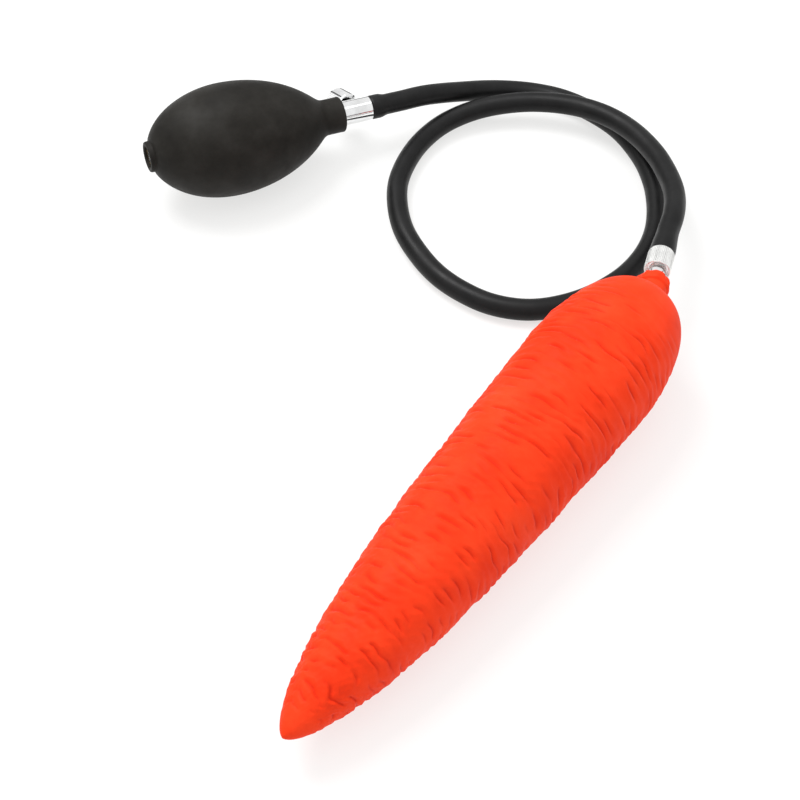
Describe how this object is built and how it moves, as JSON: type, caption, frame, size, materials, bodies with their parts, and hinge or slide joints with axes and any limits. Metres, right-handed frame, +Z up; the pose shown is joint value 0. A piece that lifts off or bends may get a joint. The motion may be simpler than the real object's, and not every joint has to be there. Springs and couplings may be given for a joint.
{
  "type": "hand inflator with bladder",
  "caption": "Squeeze bulb with inlet, check and screw release valves, feeding a tapered inflatable rubber bladder through a hose and a knurled screw coupling.",
  "frame": {"origin": "middle of the object's footprint on the surface it rests on, hose left out", "axes": "+Z up from the surface it rests on, +Y towards the pump end, along the object's longest side"},
  "size_m": [0.2271, 0.331, 0.0528],
  "materials": {
    "bulb_rubber": "matte",
    "hose_rubber": "satin",
    "seal_rubber": "matte",
    "chrome": "polished",
    "brass": "satin",
    "steel": "satin",
    "bladder_rubber": "matte"
  },
  "bodies": {
    "pump": {"bulb": "bulb_rubber", "inlet_valve_body": "brass", "inlet_filter": "steel", "inlet_stop_pin": "brass", "valve_body": "chrome", "check_seat": "brass", "check_spring": "steel", "release_bush": "brass", "hose_end_at_valve": "hose_rubber", "hose": "hose_rubber", "hose_end_at_coupling": "hose_rubber", "hose_tail": "chrome", "coupling_washer": "seal_rubber"},
    "inlet_ball": {"inlet_ball": "steel"},
    "check_ball": {"check_ball": "steel"},
    "release_carrier": {"release_seal": "seal_rubber"},
    "release_screw": {"release_spindle": "steel", "release_knob": "chrome"},
    "collar": {"coupling_collar": "chrome"},
    "bladder": {"bladder": "bladder_rubber", "bladder_stem": "chrome"}
  },
  "joints": [
    {"name": "inlet_ball_lift", "type": "slide", "parent": "pump", "child": "inlet_ball", "axis": [0.9143, 0.3975, -0.0781], "range_m": [0, 0.0012]},
    {"name": "check_ball_lift", "type": "slide", "parent": "pump", "child": "check_ball", "axis": [0.9143, 0.3975, -0.0781], "range_m": [0, 0.0012], "stiffness_N_per_m": 20, "deforming": ["check_spring"]},
    {"name": "release_travel", "type": "slide", "parent": "pump", "child": "release_carrier", "axis": [-0.5384, 0.7842, -0.3084], "range_m": [0, 0.0014]},
    {"name": "release_turn", "type": "hinge", "parent": "release_carrier", "child": "release_screw", "pos_m": [-0.02436, 0.14745, 0.01684], "axis": [-0.5384, 0.7842, -0.3084], "range_deg": [0, 720]},
    {"name": "collar_turn", "type": "hinge", "parent": "pump", "child": "collar", "pos_m": [0.10243, 0.04185, 0.02719], "axis": [0.2914, 0.953, -0.0826], "range_deg": [0, 1440]},
    {"name": "bladder_travel", "type": "slide", "parent": "pump", "child": "bladder", "axis": [-0.2914, -0.953, 0.0826], "range_m": [0, 0.004]}
  ],
  "couplings": [
    {"joint": "release_turn", "follows": "release_travel", "rad_per_m": 8976},
    {"joint": "collar_turn", "follows": "bladder_travel", "rad_per_m": 6283.2}
  ]
}
